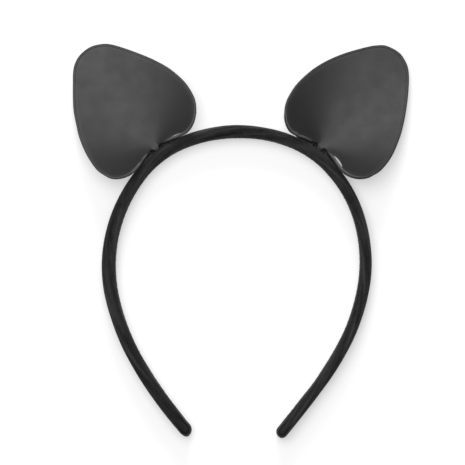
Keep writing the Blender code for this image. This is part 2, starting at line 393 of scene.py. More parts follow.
def earLeather(name, roughness):
    material, shader = newMaterial(name, leather["light"], roughness)
    shader.inputs["Specular IOR Level"].default_value = 0.5
    g = Graph(material)
    spot = g.place("Object")
    grain = g.ramp(g.cells(spot, leather["grain"]), 0.0, 0.16, 0.0, 1.0)
    fine = g.noise(spot, 2600.0, detail=3.0, roughness=0.6)
    broad = g.noise(spot, 45.0, detail=3.0)
    tone = g.math("ADD", g.math("MULTIPLY", broad, 0.8), g.math("MULTIPLY", grain, 0.25))
    colour = g.tint(tone, leather["dark"], leather["light"])
    patches = g.ramp(g.noise(spot, 420.0, detail=3.0), 0.35, 0.65, 0.6, 1.0)
    # the mesh's paler-tone attribute, mostly painted highlight on the ears' rims and base, broken into
    # patches
    wear = g.math("MULTIPLY", g.attribute("paler_tone_and_painted_highlight"), patches)
    g.link(g.mix(wear, colour, leather["paler_tone_and_painted_highlight"]), shader.inputs["Base Color"])
    rough = g.ramp(g.noise(spot, 130.0, detail=4.0), 0.3, 0.7, roughness - 0.035, roughness + 0.045)
    g.link(rough, shader.inputs["Roughness"])
    height = g.math("ADD", grain, g.math("MULTIPLY", fine, 0.5))
    g.link(g.bump(height, leather["depth"] * mm, 0.6), shader.inputs["Normal"])
    return material


def foamMaterial():
    material, shader = newMaterial("padding_foam", (0.05, 0.05, 0.05), 0.95)
    g = Graph(material)
    spot = g.place("Object")
    pores = g.cells(spot, 2200.0, feature="F1")
    g.link(g.tint(pores, (0.028, 0.028, 0.028), (0.07, 0.07, 0.068)), shader.inputs["Base Color"])
    g.link(g.bump(pores, 0.1 * mm, 0.8), shader.inputs["Normal"])
    return material


def coreMaterial():
    material, shader = newMaterial("moulded_core", (0.02, 0.02, 0.02), 0.42)
    g = Graph(material)
    spot = g.place("Object")
    swirl = g.noise(spot, 260.0, detail=4.0)
    g.link(g.tint(swirl, (0.014, 0.014, 0.014), (0.028, 0.028, 0.027)), shader.inputs["Base Color"])
    g.link(g.ramp(swirl, 0.3, 0.7, 0.36, 0.5), shader.inputs["Roughness"])
    g.link(g.bump(g.noise(spot, 1600.0), 0.02 * mm, 0.5), shader.inputs["Normal"])
    return material


def boardMaterial():
    material, shader = newMaterial("pressed_board", (0.09, 0.085, 0.08), 0.85)
    g = Graph(material)
    fibres = g.noise(g.place("Object", scale=(1.0, 5.0, 1.0), turn=(0.0, 0.0, 0.6)), 900.0, detail=5.0)
    g.link(g.tint(fibres, (0.05, 0.047, 0.043), (0.13, 0.122, 0.113)), shader.inputs["Base Color"])
    g.link(g.bump(fibres, 0.05 * mm, 0.8), shader.inputs["Normal"])
    return material


def threadMaterial():
    material, shader = newMaterial("sewing_thread", (0.02, 0.02, 0.021), 0.6)
    shader.inputs["Sheen Weight"].default_value = 0.3
    g = Graph(material)
    twist = g.noise(g.place("Object"), 3000.0, detail=2.0)
    g.link(g.tint(twist, (0.012, 0.012, 0.012), (0.034, 0.034, 0.035)), shader.inputs["Base Color"])
    g.link(g.bump(twist, 0.03 * mm, 0.6), shader.inputs["Normal"])
    return material


looks = {
    "fabric": bandFabric(),
    "panel": earLeather("ear_leather_grain", leather["roughness"]),
    "edge": earLeather("ear_leather_edge", leather["roughness"] - 0.03),
    "foam": foamMaterial(),
    "core": coreMaterial(),
    "board": boardMaterial(),
    "thread": threadMaterial(),
}
print("materials made")

# the cover: one fabric skin for each half, from its rounded end to the middle of the crown

cover = {
    "segments": 124,
    "step": 0.9,
    "endStep": 0.3,
    "endZone": 9.0,
    "capRings": 14,
    "capAngle": pi / 2 * 0.985,   # the last ring stops short of the very end and is closed flat
    "endSquareness": 2.1,         # outline of the rounded ends
    "endLean": {"left": -1.0, "right": -0.4},     # towards the inner side; below 0, outwards
    "dome": 0.22,                 # how far the padding bulges the upper and lower faces
    "sideDome": 0.4,              # its share on the outer and inner faces
    "unevenness": 0.1,
    # noise round the band: length of a wave along it, waves round it, shift across the pattern
    "unevenNoise": (13.0, 0.9, 0.0, 0.0),
    "fineNoise": (12.0, 8.5, 0.0, 9.0),
    "broadNoise": (24.0, 2.6, 5.0, 0.0),
    "patchNoise": (21.0, 0.8, 0.0, 0.0),
    "patchMiddle": 0.55,
    "patchSpread": 1.6,
    "drift": 240.0,               # the creases go once round the band in this length
    "puckerDepth": 0.05,
    "puckerSpacing": 3.4,
    "puckerWander": 2.2,          # they lie this unevenly,
    "wanderLength": 9.0,          # and that changes over this length
    "gatherLength": 17.0,         # stretches with and without them
    "gatherShare": 0.25,          # more makes the stretches with them longer
    "puckerSide": 0.6,            # share of the puckers' depth on the inner face
    "creaseDepth": 0.13,
    "creaseWidth": 0.16,          # as a share of the pattern's height
    # painted shade in the creases: how far the cover's colour goes to the dark crease colour
    "creaseShade": 0.95,
    "hollowShade": 0.7,            # painted shade in the broad hollows of the noise, as a share of the creases' painted shade
    # painted highlights: on the broad ridges, on the fine ridges and on the lips
    "ridgeHighlight": 0.9,
    "fineHighlight": 0.35,
    "lipHighlight": 0.75,
    "outerHighlight": 0.6,             # painted highlight: the crown's outer side is painted paler
    "outerHighlightReach": 48.0,       # over this length each way from its middle
    "lipWidth": 1.0,              # the folded-over cloth at the ends stands up this wide
    "lipHeight": 0.28,
    "lipReach": 7.0,
    "lipFade": 3.0,
    "lipSteepness": 9.0,
    "grooveAt": 0.25,             # past the lip's own edge
    "grooveWidth": 0.3,
    "seamLap": 0.22,              # the lapped seam on the inner face stands this proud
    "seamWidth": 1.5,
    "seamEdges": (7.0, 2.2),      # how steep its lapped edge and its other one are
    "seamReach": 3.0,             # no trace of the seam further from it than this
    "seamStart": 4.0,             # it rises over this length from each end
    "flat": (0.0255, 0.193),      # metres: round the padding with its seam's lap, and half the band's length
}


def pastEnd(along):
    # how far past the line's end, as a share of the rounded end's own length
    total = bandLength()
    if along < 0.0:
        return -along / band["overrun"]["left"]
    return max(0.0, along - total) / band["overrun"]["right"]


def endShrink(past):
    return max(0.1, max(0.0, 1.0 - past ** cover["endSquareness"]) ** (1 / cover["endSquareness"]))


def ringNoise(along, share, pattern):
    # noise that closes on itself round the band
    length, waves, shiftX, shiftY = pattern
    turn = 2 * pi * share
    return noise.noise(Vector((along / length, cos(turn) * waves + shiftX, sin(turn) * waves + shiftY)))


def creasePattern(along, share):
    # long lines that drift slowly round the band, deeper in some stretches than in others
    drift = share + along / cover["drift"]
    fine = ringNoise(along, drift, cover["fineNoise"])
    broad = ringNoise(along, drift, cover["broadNoise"])
    line = max(0.0, 1.0 - abs(fine) / cover["creaseWidth"])
    patch = within(cover["patchMiddle"] + cover["patchSpread"] * ringNoise(along, drift, cover["patchNoise"]))
    return line * line * patch, fine, broad


def fromRim(along, across, width):
    # distance in from the rounded outline of an end, seen from above
    past = pastEnd(along)
    if past == 0.0:
        return (1 - abs(across)) * width / 2
    square = cover["endSquareness"]
    outward = (past ** square + (abs(across) * endShrink(past)) ** square) ** (1 / square)
    return max(0.0, 1 - outward) * width / 2


def lipShare(along, share):
    # 1 on the folded-over cloth round each end, 0 inside it
    reach = min(along, bandLength() - along)
    if reach > cover["lipReach"]:
        return 0.0, 0.0
    width = bandWidth(along)
    spot, facing = roundedPoint(share, width, band["depth"], band["corner"])
    rim = fromRim(along, 2 * spot.x / width, width)
    fade = within((cover["lipReach"] - max(reach, 0.0)) / cover["lipFade"]) * sqrt(abs(facing.y))
    lip = smoothStep(cover["lipWidth"] - rim, cover["lipSteepness"])
    groove = bell(rim, cover["lipWidth"] + cover["grooveAt"], cover["grooveWidth"])
    return lip * fade, groove * fade


def domeLift(across, upright, facing):
    # the padding bulges each face of the section, and its corners stay in
    flat = (1 - across ** 2) * abs(facing.y)
    side = (1 - upright ** 2) * cover["sideDome"] * abs(facing.x)
    return cover["dome"] * (flat + side - 0.5)


def puckerLift(along, across, facing):
    # small gathers on the inner side, in some stretches
    inner = max(0.0, -facing.x) * cover["puckerSide"] + max(0.0, -across) * abs(facing.y)
    wander = noise.noise(Vector((along / cover["wanderLength"], 3.0, 0.0))) * cover["puckerWander"]
    gather = noise.noise(Vector((along / cover["gatherLength"], 7.0, 0.0)))
    patch = max(0.0, gather + cover["gatherShare"])
    return cover["puckerDepth"] * inner * sin(2 * pi * (along + wander) / cover["puckerSpacing"]) * patch


def seamLift(along, share, width):
    # lapped seam along the inner face
    fromSeam = (share if share < 0.5 else share - 1.0) * ringPerimeter(width, band["depth"], band["corner"])
    if abs(fromSeam) >= cover["seamReach"]:
        return 0.0
    half = cover["seamWidth"] / 2
    sharp, soft = cover["seamEdges"]
    lap = smoothStep(fromSeam + half, sharp) * smoothStep(half - fromSeam, soft)
    reach = min(along, bandLength() - along)
    return cover["seamLap"] * lap * within(reach / cover["seamStart"])


def coverPoint(along, share):
    past = pastEnd(along)
    shrink = endShrink(past) if past > 0.0 else 1.0
    width = bandWidth(along)
    spot, facing = roundedPoint(share, width, band["depth"], band["corner"])
    across = 2 * spot.x / width
    lift = domeLift(across, 2 * spot.y / band["depth"], facing)
    lift += cover["unevenness"] * ringNoise(along, share, cover["unevenNoise"])
    line, fine, _ = creasePattern(along, share)
    lift += cover["creaseDepth"] * (0.5 * fine - line)
    lift += puckerLift(along, across, facing)
    lip, groove = lipShare(along, share)
    lift += cover["lipHeight"] * (lip - groove)
    if past == 0.0:
        lift += seamLift(along, share, width)
    spot = (spot + facing * lift) * shrink
    spot.x -= cover["endLean"]["left" if along < bandLength() / 2 else "right"] * (1 - shrink)
    return bandFrame(along) @ Vector((spot.x, spot.y, 0.0))


def toneCover(bm):
    # painted shade: darker in the creases, in the groove behind the lips and in the broad hollows; painted
    # highlight: paler on the lips, on the ridges between creases and on the crown's outer side
    shareOf = bm.verts.layers.float["share"]
    alongOf = bm.verts.layers.float["along"]
    creaseShadeOf = bm.verts.layers.float.new("painted_crease_shade")
    paintedHighlightOf = bm.verts.layers.float.new("painted_highlight")
    for v in bm.verts:
        line, fine, broad = creasePattern(v[alongOf], v[shareOf])
        lip, groove = lipShare(v[alongOf], v[shareOf])
        # painted shade for the creases, the broad hollows and the groove behind the lips
        dark = cover["creaseShade"] * (line + max(0.0, -broad) * cover["hollowShade"])
        v[creaseShadeOf] = min(1.0, dark + groove)
        width = bandWidth(v[alongOf])
        spot, _ = roundedPoint(v[shareOf], width, band["depth"], band["corner"])
        # painted highlight: on the crown's outer side, on the ridges and on the lips
        outer = max(0.0, 2 * spot.x / width) * bell(v[alongOf], bandLength() / 2, cover["outerHighlightReach"])
        painted_highlight = max(0.0, broad) * cover["ridgeHighlight"] + max(0.0, fine) * cover["fineHighlight"]
        v[paintedHighlightOf] = min(1.0, painted_highlight + lip * cover["lipHighlight"] + outer * cover["outerHighlight"])


def halfStations(side, startReach, step, withCap):
    total = bandLength()
    reaches = []
    if withCap:
        for k in range(cover["capRings"]):
            angle = (1 - k / cover["capRings"]) * cover["capAngle"]
            reaches.append(-band["overrun"][side] * sin(angle))
        zone = round(cover["endZone"] / cover["endStep"])
        reaches += [cover["endZone"] * k / zone for k in range(zone)]
        startReach = cover["endZone"]
    count = round((total / 2 - startReach) / step)
    reaches += [startReach + (total / 2 - startReach) * k / count for k in range(count + 1)]
    return reaches if side == "left" else [total - reach for reach in reaches]


def flexSpan(side):
    # where the cloth starts and stops bending with its arm, crown side first
    at = band["flexAt"][side]
    crownward = 1 if side == "left" else -1
    ends = []
    for way in (crownward, -crownward):
        x, y, _ = bandPoint(at + way * band["bendReach"])
        ends.append((x * mm, y * mm, band["depth"] / 2 * mm))
    return ends


def makeCover(side):
    bm = bmesh.new()
    stations = halfStations(side, 0.0, cover["step"], True)
    first, _ = growTube(bm, cover["segments"], stations, coverPoint)
    closeRims(bm, first)
    layWeave(bm, ringPerimeter(band["thick"], band["depth"], band["corner"]))
    toneCover(bm)
    piece = finishPiece(side + "_half_cover", bm, looks["fabric"])
    wall = piece.modifiers.new("wall", "SOLIDIFY")
    wall.thickness = band["wall"] * mm
    wall.offset = -1.0
    wall.use_even_offset = True
    arm = side + "_arm"
    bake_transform(piece, "crown", arm, *flexSpan(side))
    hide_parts("crown_cover", arm + "_cover", side + "_tip_cap")


for side in ("left", "right"):
    makeCover(side)
print("band cover made")

# the foam sleeve under the cover

padding = {
    "outer": (4.1, 7.2, 1.1),
    "bore": (2.2, 6.2, 0.4),
    "segments": 32,
    "step": 3.0,
    "from": 1.3,
    "dimple": 0.05,
    "endReach": 20.0,             # rims nearer to the middle of the crown than this are the crown end's
    "fill": 0.9,
}


def paddingSkin(bm, stations, section, dimple):
    def place(along, share):
        width, height, corner = section
        spot, facing = roundedPoint(share, width * bandSwell(along), height, corner)
        rough = dimple * noise.noise(Vector((along / 3, spot.x, spot.y)))
        return bandFrame(along) @ Vector((*(spot + facing * rough), 0.0))
    return growTube(bm, padding["segments"], stations, place)


def makePadding(side):
    bm = bmesh.new()
    stations = halfStations(side, padding["from"], padding["step"], False)
    outerEnds = paddingSkin(bm, stations, padding["outer"], padding["dimple"])
    inside = bmesh.new()
    paddingSkin(inside, stations, padding["bore"], 0.0)
    mesh = bpy.data.meshes.new("bore")
    inside.to_mesh(mesh)
    inside.free()
    rims = [edge for end in outerEnds for edge in end]
    before = set(bm.edges)
    bm.from_mesh(mesh)
    bpy.data.meshes.remove(mesh)
    rims += [edge for edge in bm.edges if edge not in before and edge.is_boundary]
    middle = Vector(bandPoint(bandLength() / 2)[:2])
    atCrown = {edge for edge in rims if (edge.verts[0].co.xy - middle).length < padding["endReach"]}
    for crownEnd in (True, False):
        bmesh.ops.bridge_loops(bm, edges=[edge for edge in rims if (edge in atCrown) == crownEnd])
    piece = finishPiece(side + "_half_padding", bm, looks["foam"])
    arm = side + "_arm"
    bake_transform(piece, "crown", arm, *flexSpan(side))
    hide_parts("crown_padding", arm + "_padding")


for side in ("left", "right"):
    makePadding(side)
print("padding made")

# small stitches along the cover's seam

seamStitch = {
    "spacing": 3.2,
    "length": 1.5,
    "thick": 0.26,
    "slant": 0.275,
    "above": 0.55,                # over the middle of the band's depth
    "sunk": 0.02,
    "from": 6.0,
}


def addStitch(bm, place, length, thick):
    # one short rounded thread that dips into the cloth at both ends
    verts = bmesh.ops.create_uvsphere(bm, u_segments=8, v_segments=6, radius=0.5)["verts"]
    for v in verts:
        dip = (v.co.z * 2) ** 2 * thick * 0.3
        v.co = Vector((v.co.z * length, v.co.x * thick, v.co.y * thick - dip))
    bmesh.ops.transform(bm, matrix=place, verts=verts)


def makeSeamStitches(side):
    bm = bmesh.new()
    total = bandLength()
    count = int((total / 2 - seamStitch["from"]) / seamStitch["spacing"])
    for k in range(count):
        reach = seamStitch["from"] + (k + 0.5) * seamStitch["spacing"]
        along = reach if side == "left" else total - reach
        out = bandWidth(along) / 2 + cover["seamLap"] - seamStitch["sunk"]
        turned = Matrix(((0, 0, -1, -out), (0, 1, 0, seamStitch["above"]), (1, 0, 0, 0), (0, 0, 0, 1)))
        upright = Matrix.Rotation(pi / 2 + seamStitch["slant"], 4, "Z")
        addStitch(bm, bandFrame(along) @ turned @ upright, seamStitch["length"], seamStitch["thick"])
    piece = finishPiece(side + "_seam_stitches", bm, looks["thread"])
    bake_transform(piece, "crown", side + "_arm", *flexSpan(side))


for side in ("left", "right"):
    makeSeamStitches(side)
print("seam stitched")

# the ears

ear = {
    # outline points, tip first, down the outer side, past the neck and up the inner side
    "outline": {
        "left": ((0.0, 58.5), (4.2, 57.8), (8.0, 55.8), (10.8, 53.1), (13.5, 49.5), (17.4, 44.2),
                 (21.3, 38.3), (24.1, 32.4), (26.8, 26.0), (28.8, 17.3), (29.1, 9.2), (27.7, 4.3),
                 (25.5, 0.5), (21.5, -2.0), (16.8, -3.0), (12.0, -2.2), (7.4, -0.8), (3.6, 0.0),
                 (0.0, 0.3), (-3.6, -0.1), (-7.4, -0.8), (-12.0, -2.0), (-16.7, -2.7), (-21.0, -1.3),
                 (-24.6, 1.4), (-27.2, 4.7), (-29.2, 9.2), (-29.9, 17.1), (-28.2, 26.0), (-25.5, 32.7),
                 (-22.2, 38.8), (-18.2, 45.1), (-14.3, 50.7), (-11.3, 54.2), (-8.2, 56.4), (-4.2, 58.1)),
        "right": ((0.0, 59.2), (4.4, 59.4), (8.5, 58.0), (11.9, 55.8), (15.1, 52.1), (19.0, 46.1),
                  (22.8, 39.2), (25.8, 32.8), (28.3, 26.0), (30.3, 16.9), (30.1, 8.7), (28.3, 3.8),
                  (25.7, 0.3), (21.9, -2.2), (17.2, -3.2), (12.3, -2.4), (7.4, -0.8), (3.5, 0.0),
                  (0.0, 0.3), (-3.6, -0.1), (-7.3, -0.8), (-11.8, -1.8), (-16.3, -2.2), (-20.2, -0.3),
                  (-23.2, 2.8), (-25.3, 6.1), (-26.6, 10.6), (-27.0, 17.9), (-25.6, 26.0), (-23.5, 32.3),
                  (-20.7, 38.0), (-17.0, 43.9), (-13.2, 48.9), (-10.4, 52.3), (-7.8, 55.1), (-4.1, 58.0)),
    },
    "tuck": {"left": 0.7, "right": 0.35},      # how far the base laps over the tilt line
    "centre": 26.0,
    "cupRise": 0.54,
    "cupFrom": 6.0,
    "cupTo": 105.0,
    "tipDrop": 1.2,
    "leatherThick": 0.7,
    "boardThick": 0.5,
    "gap": 0.3,
    "rings": 22,
    "spokes": 180,
    "edgeCrowding": 1.7,          # the rings lie closer together towards the edge
    "edgeWidth": 1.5,
    "edgeHeight": 2.5,
    "edgeSquareness": 3.2,
    "edgeLap": 0.5,               # the panels run this far into the turned edge
    "edgeSegments": 24,
    "baseSkirt": {"left": 0.25, "right": 0.5},      # how much wider the edge is along the base
    "baseSkirtFall": 0.01,
    "edgeStations": 300,
    "edgeProud": 0.06,            # over the panel
    "edgeUneven": 0.07,
    "unevenWaves": 60.0,
    "unevenSeed": {"left": 2.0, "right": 8.0},
    "endTaper": 0.016,            # the edge slims down over this share of its length at the neck
    "endShare": 0.35,             # down to this share of its size
    "endDrop": 0.7,               # and sinks this far
    "skirtBelow": 4.0,            # only where the edge is this near to the tilt line
    "skirtSlope": 2.0,            # it falls this steeply towards the band
    "neckOpening": 0.026,         # the turned edge stops this far from the neck, as a share of the outline
    # a slit between the turned edge and the panel: where along the outline, half its length, its width
    "slit": {"left": (0.577, 0.024, 0.62), "right": (0.427, 0.02, 1.15)},
    "waviness": 0.1,
    "waveLength": 19.0,
    "waveSeed": {"left": 4.0, "right": 11.0},
    "panelRoll": 0.1,             # the panels' edges are rolled down this far, over the width below
    "panelRollWidth": 0.45,
    # painted highlight along the panels' edges, also used for the painted highlight line on the turned edge's
    # top
    "panelEdgeHighlight": 0.06,
    "panelEdgeHighlightWidth": 1.2,
    "neckRoom": 0.55,             # the front panel is cut back this far round the neck
    "neckRoomReach": 0.02,        # over this share of the outline
    "slitRoom": 1.2,              # the panels draw back by this many of a slit's widths
    "paleAt": 0.055,              # middle of the painted highlight beside the neck, as a share of the edge
    "paleReach": 0.042,
    "pale": 0.85,
    # painted highlight lines on the edge: where round its section, 0.25 being its top and more being inwards,
    # and how wide
    "topLine": (0.28, 0.1),
    "paleLine": (0.31, 0.12),
    "flat": (0.058, 0.061),       # metres: the piece of leather that one panel is cut from
    "flatArea": 0.0026,
}


def jointOf(side):
    return next(joint for joint in frame["joints"] if joint["name"] == side + "_ear_tilt")


def neckAlong(side):
    # where on the band's line the ear stands: the nearest place to its tilt line
    spot = Vector(jointOf(side)["pos_m"]).xy / mm
    places = [k / 10 for k in range(round(bandLength() * 10))]
    return min(places, key=lambda along: (Vector(bandPoint(along)[:2]) - spot).length)


def earFrame(side):
    # X away from the middle along the band, Y out from the band, Z up, on the tilt line
    joint = jointOf(side)
    away = Vector(joint["axis"]).normalized()
    if side == "left":
        away = -away
    outward = Vector((-away.y, away.x, 0.0))
    if outward.y < 0:
        outward = -outward
    place = Matrix.Identity(4)
    place.col[0][:3] = away
    place.col[1][:3] = outward
    place.col[3][:3] = Vector(joint["pos_m"]) / mm
    return place


def earOutline(side, share):
    points = ear["outline"][side]
    spot = (share % 1.0) * len(points)
    first = int(spot)
    t = spot - first
    p = [Vector(points[(first + k - 1) % len(points)]) for k in range(4)]
    line = p[2] - p[0]
    bend = 2 * p[0] - 5 * p[1] + 4 * p[2] - p[3]
    twist = 3 * p[1] - p[0] - 3 * p[2] + p[3]
    return p[1] + (line * t + bend * t * t + twist * t * t * t) / 2 - Vector((0.0, ear["tuck"][side]))


def insetOutline(side, share, inset):
    step = 0.004
    line = (earOutline(side, share + step) - earOutline(side, share - step)).normalized()
    return earOutline(side, share) + Vector((line.y, -line.x)) * inset


def slitWidth(side, share):
    middle, half, width = ear["slit"][side]
    off = (share % 1.0 - middle) / half
    return width * sqrt(max(0.0, 1 - off * off))


def cupHeight(side, x, y):
    angle = atan2(abs(x), y) * 180 / pi
    reach = hypot(x, y)
    share = within((angle - ear["cupFrom"]) / (ear["cupTo"] - ear["cupFrom"]))
    lobe = reach * ear["cupRise"] * share ** 2
    lean = -ear["tipDrop"] * max(0.0, y / ear["centre"] / 2) ** 2
    seed = ear["waveSeed"][side]
    wave = ear["waviness"] * noise.noise(Vector((x / ear["waveLength"], y / ear["waveLength"], seed)))
    return lobe + lean + wave


def cupSlope(side, x, y):
    step = 0.5
    riseX = (cupHeight(side, x + step, y) - cupHeight(side, x - step, y)) / (2 * step)
    riseY = (cupHeight(side, x, y + step) - cupHeight(side, x, y - step)) / (2 * step)
    return hypot(1.0, hypot(riseX, riseY))


def growDisc(bm, rings, spokes):
    # a disc of rings round a centre point; reach and share tell where each vertex is
    reachOf = bm.verts.layers.float.new("reach")
    shareOf = bm.verts.layers.float.new("share")
    bmesh.ops.create_circle(bm, cap_ends=True, segments=spokes, radius=1.0)
    for ring in range(rings, 1, -1):
        bm.faces.ensure_lookup_table()
        middle = max(bm.faces, key=lambda face: len(face.verts))
        verts = onlyVerts(bmesh.ops.extrude_face_region(bm, geom=[middle])["geom"])
        bmesh.ops.scale(bm, vec=Vector((1, 1, 1)) * ((ring - 1) / ring), verts=verts)
        bmesh.ops.delete(bm, geom=[middle], context="FACES_KEEP_BOUNDARY")
    bm.faces.ensure_lookup_table()
    bmesh.ops.poke(bm, faces=[max(bm.faces, key=lambda face: len(face.verts))])
    for v in bm.verts:
        reach = hypot(v.co.x, v.co.y)
        v[reachOf] = 1 - (1 - min(1.0, reach)) ** ear["edgeCrowding"]
        v[shareOf] = (round(atan2(v.co.x, v.co.y) / (2 * pi) * spokes) / spokes) % 1.0
    return reachOf, shareOf


def panelInset(side, share, front):
    # the panel's own edge lies inside the turned edge, but for the slit; the front makes room for the neck
    inset = ear["edgeWidth"] - ear["edgeLap"] + slitWidth(side, share) * ear["slitRoom"]
    if front:
        inset += ear["neckRoom"] * bell(share % 1.0, 0.5, ear["neckRoomReach"])
    return inset


def makePanel(side, front):
    bm = bmesh.new()
    reachOf, shareOf = growDisc(bm, ear["rings"], ear["spokes"])
    paler_tone_and_painted_highlight = bm.verts.layers.float.new("paler_tone_and_painted_highlight")
    centre = Vector((0.0, ear["centre"]))
    near = ear["boardThick"] / 2 + ear["gap"]
    way = 1 if front else -1
    for v in bm.verts:
        reach = v[reachOf]
        edge = insetOutline(side, v[shareOf], panelInset(side, v[shareOf], front))
        flat = centre + (edge - centre) * reach
        fromEdge = (1 - reach) * (edge - centre).length
        # painted highlight near the panel's edge
        v[paler_tone_and_painted_highlight] = ear["panelEdgeHighlight"] * bell(fromEdge, 0.0, ear["panelEdgeHighlightWidth"])
        v.co = (flat.x, flat.y, cupHeight(side, flat.x, flat.y) + way * near * cupSlope(side, flat.x, flat.y))
    outer = onlyVerts(bmesh.ops.extrude_face_region(bm, geom=list(bm.faces))["geom"])
    for v in outer:
        fromEdge = (1 - v[reachOf]) * (Vector(v.co.xy) - centre).length
        roll = ear["panelRoll"] * bell(fromEdge, 0.0, ear["panelRollWidth"])
        v.co.z += way * (ear["leatherThick"] - roll) * cupSlope(side, v.co.x, v.co.y)
    bmesh.ops.transform(bm, matrix=earFrame(side), verts=bm.verts)
    part = "front" if front else "back"
    piece = finishPiece(side + "_ear_" + part, bm, looks["panel"])
    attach(piece, side + "_ear")
    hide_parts(side + "_ear_" + part + "_panel")


def makeTurnedEdge(side):
    bm = bmesh.new()
    opening = ear["neckOpening"]

    def place(station, share):
        outlineAt = 0.5 + opening + (1 - 2 * opening) * station
        spot = insetOutline(side, outlineAt, ear["edgeWidth"] / 2)
        out = (insetOutline(side, outlineAt, 0.0) - spot).normalized()
        ends = min(1.0, min(station, 1 - station) / ear["endTaper"])
        taper = ear["endShare"] + (1 - ear["endShare"]) * sqrt(max(0.0, 1 - (1 - ends) ** 2))
        spotInNoise = Vector((station * ear["unevenWaves"], ear["unevenSeed"][side], 0.0))
        plump = 1 + ear["edgeUneven"] * noise.noise(spotInNoise)
        angle = 2 * pi * share
        flat = 2 / ear["edgeSquareness"]
        across = copysign(abs(cos(angle)) ** flat, cos(angle)) * ear["edgeWidth"] / 2 * taper
        up = copysign(abs(sin(angle)) ** flat, sin(angle)) * ear["edgeHeight"] / 2 * taper * plump
        if sin(angle) > 0:
            up += ear["edgeProud"] * taper
        if cos(angle) > 0 and spot.y < ear["skirtBelow"]:
            skirt = max(0.0, ear["baseSkirt"][side] - ear["baseSkirtFall"] * abs(spot.x))
            skirt *= min(1.0, (ear["skirtBelow"] - spot.y) / 2) * cos(angle) ** 2
            across += skirt
            up -= skirt * ear["skirtSlope"]
        at = spot + out * across
        height = cupHeight(side, spot.x, spot.y) + up - (1 - ends) * ear["endDrop"]
        return Vector((at.x, at.y, height))

    stations = [k / ear["edgeStations"] for k in range(ear["edgeStations"] + 1)]
    closeRims(bm, *growTube(bm, ear["edgeSegments"], stations, place))
    paleAndHighlightOf = bm.verts.layers.float.new("paler_tone_and_painted_highlight")
    shareOf = bm.verts.layers.float["share"]
    alongOf = bm.verts.layers.float["along"]
    for v in bm.verts:
        # the base is bent over; painted highlight on it on both sides of the neck, and a painted highlight
        # line along the edge's top
        fromNeck = min(v[alongOf], 1 - v[alongOf])
        base = bell(fromNeck, ear["paleAt"], ear["paleReach"])
        v[paleAndHighlightOf] = ear["panelEdgeHighlight"] * bell(v[shareOf], *ear["topLine"])
        v[paleAndHighlightOf] += ear["pale"] * base * bell(v[shareOf], *ear["paleLine"])
    bmesh.ops.transform(bm, matrix=earFrame(side), verts=bm.verts)
    piece = finishPiece(side + "_ear_edge", bm, looks["edge"])
    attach(piece, side + "_ear")
    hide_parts(side + "_ear_hem")


neck = {
    "across": 56,
    "out": 30,
    "bandWidth": 3.5,             # half width at the band
    "earWidth": 4.7,              # half width under the ear
    "from": -1.25,
    "to": 2.6,
    "thick": 0.55,
    "hollowAt": (2.5, -0.3),      # the two hollows beside the tongue, before the ear's tuck
    "hollowSize": (1.1, 1.0),
    "hollowDepth": 1.9,
    "tongue": 1.7,                # half width of the tongue
    "tongueRise": 0.12,
    "sideDrop": 0.35,
    "tuckUnder": (0.65, 0.3),     # beyond this share of the way out its sides go under the panel
    "tuckBeside": (2.0, 0.6),
    "tuckDepth": 1.15,
    "pleat": 0.05,
    "pleatTurn": 5.2,             # radians in a millimetre across
    "wear": 0.05,
    "bendFrom": -0.9,             # it bends between these places when the ear tilts
    "bendTo": 1.3,
}


def makeNeck(side):
    # gathered leather: a tongue in the middle with a hollow on each side of it
    bm = bmesh.new()
    bmesh.ops.create_grid(bm, x_segments=neck["across"], y_segments=neck["out"], size=1.0)
    top = ear["boardThick"] / 2 + ear["gap"] + ear["leatherThick"]
    hollowX, hollowY = neck["hollowAt"]
    hollowY -= ear["tuck"][side]
    underFrom, underOver = neck["tuckUnder"]
    besideFrom, besideOver = neck["tuckBeside"]
    paleAndHighlightOf = bm.verts.layers.float.new("paler_tone_and_painted_highlight")
    for v in bm.verts:
        s = (v.co.y + 1) / 2
        widen = s * s * (3 - 2 * s)
        x = v.co.x * (neck["bandWidth"] + (neck["earWidth"] - neck["bandWidth"]) * widen)
        y = neck["from"] + (neck["to"] - neck["from"]) * s
        tongue = bell(x, 0.0, neck["tongue"])
        hollow = bell(abs(x), hollowX, neck["hollowSize"][0]) * bell(y, hollowY, neck["hollowSize"][1])
        under = within((s - underFrom) / underOver) * within((abs(x) - besideFrom) / besideOver)
        height = cupHeight(side, x, y) + top * (1 - under * neck["tuckDepth"])
        height -= neck["hollowDepth"] * hollow
        height += neck["tongueRise"] * tongue - neck["sideDrop"] * (1 - s) * (1 - tongue)
        height += neck["pleat"] * sin(x * neck["pleatTurn"] + 1.0) * tongue * (1 - s)
        v[paleAndHighlightOf] = neck["wear"] * tongue
        v.co = (x, y, height)
    bmesh.ops.transform(bm, matrix=earFrame(side), verts=bm.verts)
    piece = finishPiece(side + "_ear_gather", bm, looks["panel"], 80)
    wall = piece.modifiers.new("wall", "SOLIDIFY")
    wall.thickness = neck["thick"] * mm
    wall.offset = -1.0
    base = earFrame(side)
    start = base @ Vector((0.0, neck["bendFrom"], 0.0)) * mm
    end = base @ Vector((0.0, neck["bendTo"], 0.0)) * mm
    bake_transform(piece, "crown", side + "_ear", start, end)
    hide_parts(side + "_ear_neck")


tab = {
    "width": 4.0,
    "thick": 0.75,
    "sunk": 0.17,                 # the foot is glued into the padded cover
    "height": 4.2,
    "lowered": 0.9,               # below the middle of the band's depth
    "corner": 1.1,
    "rim": 0.14,
    "wear": 0.1,
    "stitchAt": (1.25, 1.35),     # from the foot's middle: along the band and up
    "stitchProud": 0.05,
    "stitchSlant": 0.7,
    "stitchLength": 1.5,
    "stitchThick": 0.34,
}


